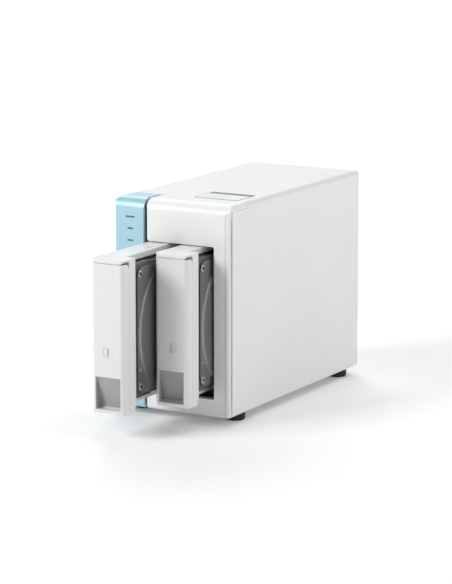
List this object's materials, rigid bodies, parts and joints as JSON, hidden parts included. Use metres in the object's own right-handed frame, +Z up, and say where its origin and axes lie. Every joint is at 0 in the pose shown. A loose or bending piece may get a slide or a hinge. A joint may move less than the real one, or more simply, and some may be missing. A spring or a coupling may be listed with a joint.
{
  "type": "network attached storage",
  "caption": "Desktop network storage box with a pale blue front strip, two drive trays drawn partly out, rear fan and sockets, on round rubber feet.",
  "frame": {"origin": "middle of the bounding box at floor level, under the casing between the feet, with the trays drawn out as stored", "axes": "+X towards the right side seen from the front, +Y towards the back, +Z up"},
  "size_m": [0.102, 0.2994, 0.1692],
  "materials": {
    "white_plastic": "smooth semi-gloss moulding",
    "cover_plastic": "fine satin texture",
    "blue_plastic": "glossy pale blue moulding",
    "tray_plastic": "fine satin texture",
    "black_plastic": "satin moulding",
    "chip_plastic": "matt epoxy",
    "clip_plastic": "satin moulding",
    "button_plastic": "smooth semi-gloss moulding",
    "lens_plastic": "smoky translucent moulding",
    "lock_plastic": "satin moulding",
    "label": "printed film, satin",
    "cable": "smooth sleeve",
    "circuit_board": "solder mask, semi-gloss",
    "rubber": "matt black",
    "grip_rubber": "fine dotted grey",
    "painted_steel": "fine powder coat",
    "dark_steel": "black powder coat",
    "drive_casting": "dark coated aluminium casting",
    "drive_cover": "dark satin coated steel",
    "black_screws": "black oxide",
    "zinc": "bright zinc plate",
    "nickel": "nickel plate",
    "chrome_wire": "bright plated wire",
    "aluminium": "bead blasted",
    "brass": "turned"
  },
  "bodies": {
    "chassis": {"front_bezel": "white_plastic", "accent_panel": "blue_plastic", "front_frame": "black_plastic", "main_cover": "cover_plastic", "base_pan": "cover_plastic", "rear_panel": "painted_steel", "feet": "rubber", "foot_screws": "zinc", "drive_cage": "dark_steel", "bay_guides": "black_plastic", "cage_screws": "zinc", "backplane": "circuit_board", "sata_connectors": "black_plastic", "main_board": "circuit_board", "board_chips": "chip_plastic", "board_connectors": "black_plastic", "board_standoffs": "brass", "board_screws": "zinc", "heat_sink": "aluminium", "clock_battery": "nickel", "lan_jack": "nickel", "rear_usb_ports": "nickel", "front_usb_port": "nickel", "dc_inlet": "black_plastic", "led_board": "circuit_board", "status_lenses": "lens_plastic", "top_label": "label", "fan_frame": "black_plastic", "fan_guard": "chrome_wire", "fan_screws": "black_screws", "fan_lead": "cable", "thumb_screws": "nickel", "rear_screws": "zinc"},
    "fan": {"fan_rotor": "black_plastic"},
    "power_button": {"power_button": "button_plastic"},
    "copy_button": {"copy_button": "button_plastic"},
    "reset_button": {"reset_button": "black_plastic"},
    "left_tray": {"left_tray_frame": "tray_plastic", "left_tray_bezel": "tray_plastic", "left_tray_clips": "clip_plastic", "left_lever_pin": "zinc", "left_drive_base": "drive_casting", "left_drive_cover": "drive_cover", "left_drive_board": "circuit_board", "left_drive_screws": "zinc"},
    "left_lever": {"left_lever": "tray_plastic", "left_grip_pad": "grip_rubber"},
    "left_lock": {"left_lock": "lock_plastic"},
    "right_tray": {"right_tray_frame": "tray_plastic", "right_tray_bezel": "tray_plastic", "right_tray_clips": "clip_plastic", "right_lever_pin": "zinc", "right_drive_base": "drive_casting", "right_drive_cover": "drive_cover", "right_drive_board": "circuit_board", "right_drive_screws": "zinc"},
    "right_lever": {"right_lever": "tray_plastic", "right_grip_pad": "grip_rubber"},
    "right_lock": {"right_lock": "lock_plastic"}
  },
  "joints": [
    {"name": "left_tray_slide", "type": "slide", "parent": "chassis", "child": "left_tray", "axis": [0, -1, 0], "range_m": [-0.0805, 0.0995]},
    {"name": "left_lever_hinge", "type": "hinge", "parent": "left_tray", "child": "left_lever", "pos_m": [-0.0069, -0.14515, 0.1295], "axis": [-1, 0, 0], "range_deg": [0, 40]},
    {"name": "left_lock_turn", "type": "hinge", "parent": "left_lever", "child": "left_lock", "pos_m": [-0.0069, -0.14825, 0.0668], "axis": [0, 1, 0], "range_deg": [0, 90]},
    {"name": "right_tray_slide", "type": "slide", "parent": "chassis", "child": "right_tray", "axis": [0, -1, 0], "range_m": [-0.0385, 0.1415]},
    {"name": "right_lever_hinge", "type": "hinge", "parent": "right_tray", "child": "right_lever", "pos_m": [0.0223, -0.10315, 0.1295], "axis": [-1, 0, 0], "range_deg": [0, 40]},
    {"name": "right_lock_turn", "type": "hinge", "parent": "right_lever", "child": "right_lock", "pos_m": [0.0223, -0.10625, 0.0668], "axis": [0, 1, 0], "range_deg": [0, 90]},
    {"name": "fan_spin", "type": "hinge", "parent": "chassis", "child": "fan", "pos_m": [0.008, 0.13435, 0.104], "axis": [0, 1, 0], "continuous": true},
    {"name": "power_press", "type": "slide", "parent": "chassis", "child": "power_button", "axis": [0, 1, 0], "range_m": [0, 0.0012], "stiffness_N_per_m": 800, "springref_m": -0.0005},
    {"name": "copy_press", "type": "slide", "parent": "chassis", "child": "copy_button", "axis": [0, 1, 0], "range_m": [0, 0.0012], "stiffness_N_per_m": 800, "springref_m": -0.0005},
    {"name": "reset_press", "type": "slide", "parent": "chassis", "child": "reset_button", "axis": [0, -1, 0], "range_m": [0, 0.0006], "stiffness_N_per_m": 800, "springref_m": -0.0005}
  ]
}
